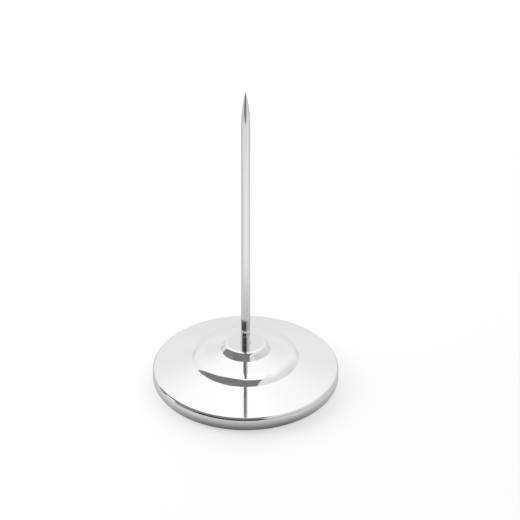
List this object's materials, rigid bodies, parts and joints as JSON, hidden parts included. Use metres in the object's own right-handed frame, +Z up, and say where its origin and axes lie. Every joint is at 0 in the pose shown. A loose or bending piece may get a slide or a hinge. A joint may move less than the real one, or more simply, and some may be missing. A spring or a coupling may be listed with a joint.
{
  "type": "receipt spike",
  "caption": "Upright pointed steel rod on a weighted round base with a stepped, polished dome, for holding paper slips on a counter.",
  "frame": {"origin": "on the table under the spike's axis, at the centre of the pad's lower face", "axes": "+Z up along the spike, towards its point; the part is round about Z"},
  "size_m": [0.1, 0.1, 0.18],
  "materials": {
    "polished_steel": "mirror-polished stainless steel",
    "ballast_steel": "plain rolled steel with a dark oxide skin",
    "zinc_plate": "bright zinc-plated steel",
    "black_foam": "matt black non-slip foam rubber"
  },
  "bodies": {
    "root": {"spike": "polished_steel", "base_shell": "polished_steel", "ballast_plate": "ballast_steel", "flat_washer": "zinc_plate", "spring_washer": "zinc_plate", "hex_nut": "zinc_plate", "base_pad": "black_foam"}
  },
  "joints": []
}
